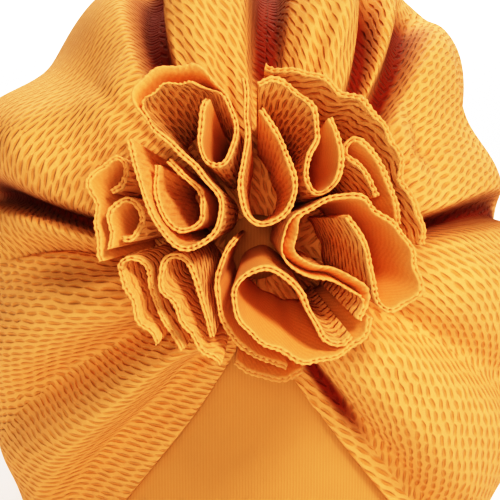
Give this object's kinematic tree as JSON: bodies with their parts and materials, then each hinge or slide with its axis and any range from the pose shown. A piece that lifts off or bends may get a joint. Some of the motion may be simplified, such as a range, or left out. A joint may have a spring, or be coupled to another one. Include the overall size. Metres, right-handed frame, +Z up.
{
  "type": "turban hat",
  "caption": "Child's puffed turban hat in mustard bullet knit: plain inner cap, two gathered wraps that part in an upturned V, and a ruffled flower on the front.",
  "frame": {"origin": "on the surface that the rim rests on, below the middle of the hat's whole box", "axes": "+Z up out of the crown, -Y out of the front where the flower is, +X to the right of someone facing the flower"},
  "size_m": [0.183, 0.2078, 0.189],
  "materials": {
    "plain_jersey": "smooth side of a knit, fine upright wales, matt",
    "bullet_knit": "embossed bullet knit, staggered oval bumps, matt",
    "petal_knit": "bullet knit with raw scalloped edges and a smooth back, matt"
  },
  "bodies": {
    "root": {"inner_cap": "plain_jersey", "left_wrap": "bullet_knit", "right_wrap": "bullet_knit", "petal_upper_left": "petal_knit", "petal_left": "petal_knit", "petal_outer_left": "petal_knit", "petal_small_left": "petal_knit", "petal_low_left": "petal_knit", "petal_lower_left": "petal_knit", "petal_bottom_left": "petal_knit", "petal_lowest": "petal_knit", "petal_bottom_cornet": "petal_knit", "petal_lower_right": "petal_knit", "petal_centre": "petal_knit", "petal_upper_right": "petal_knit", "petal_right": "petal_knit", "petal_right_tuck": "petal_knit"}
  },
  "joints": []
}
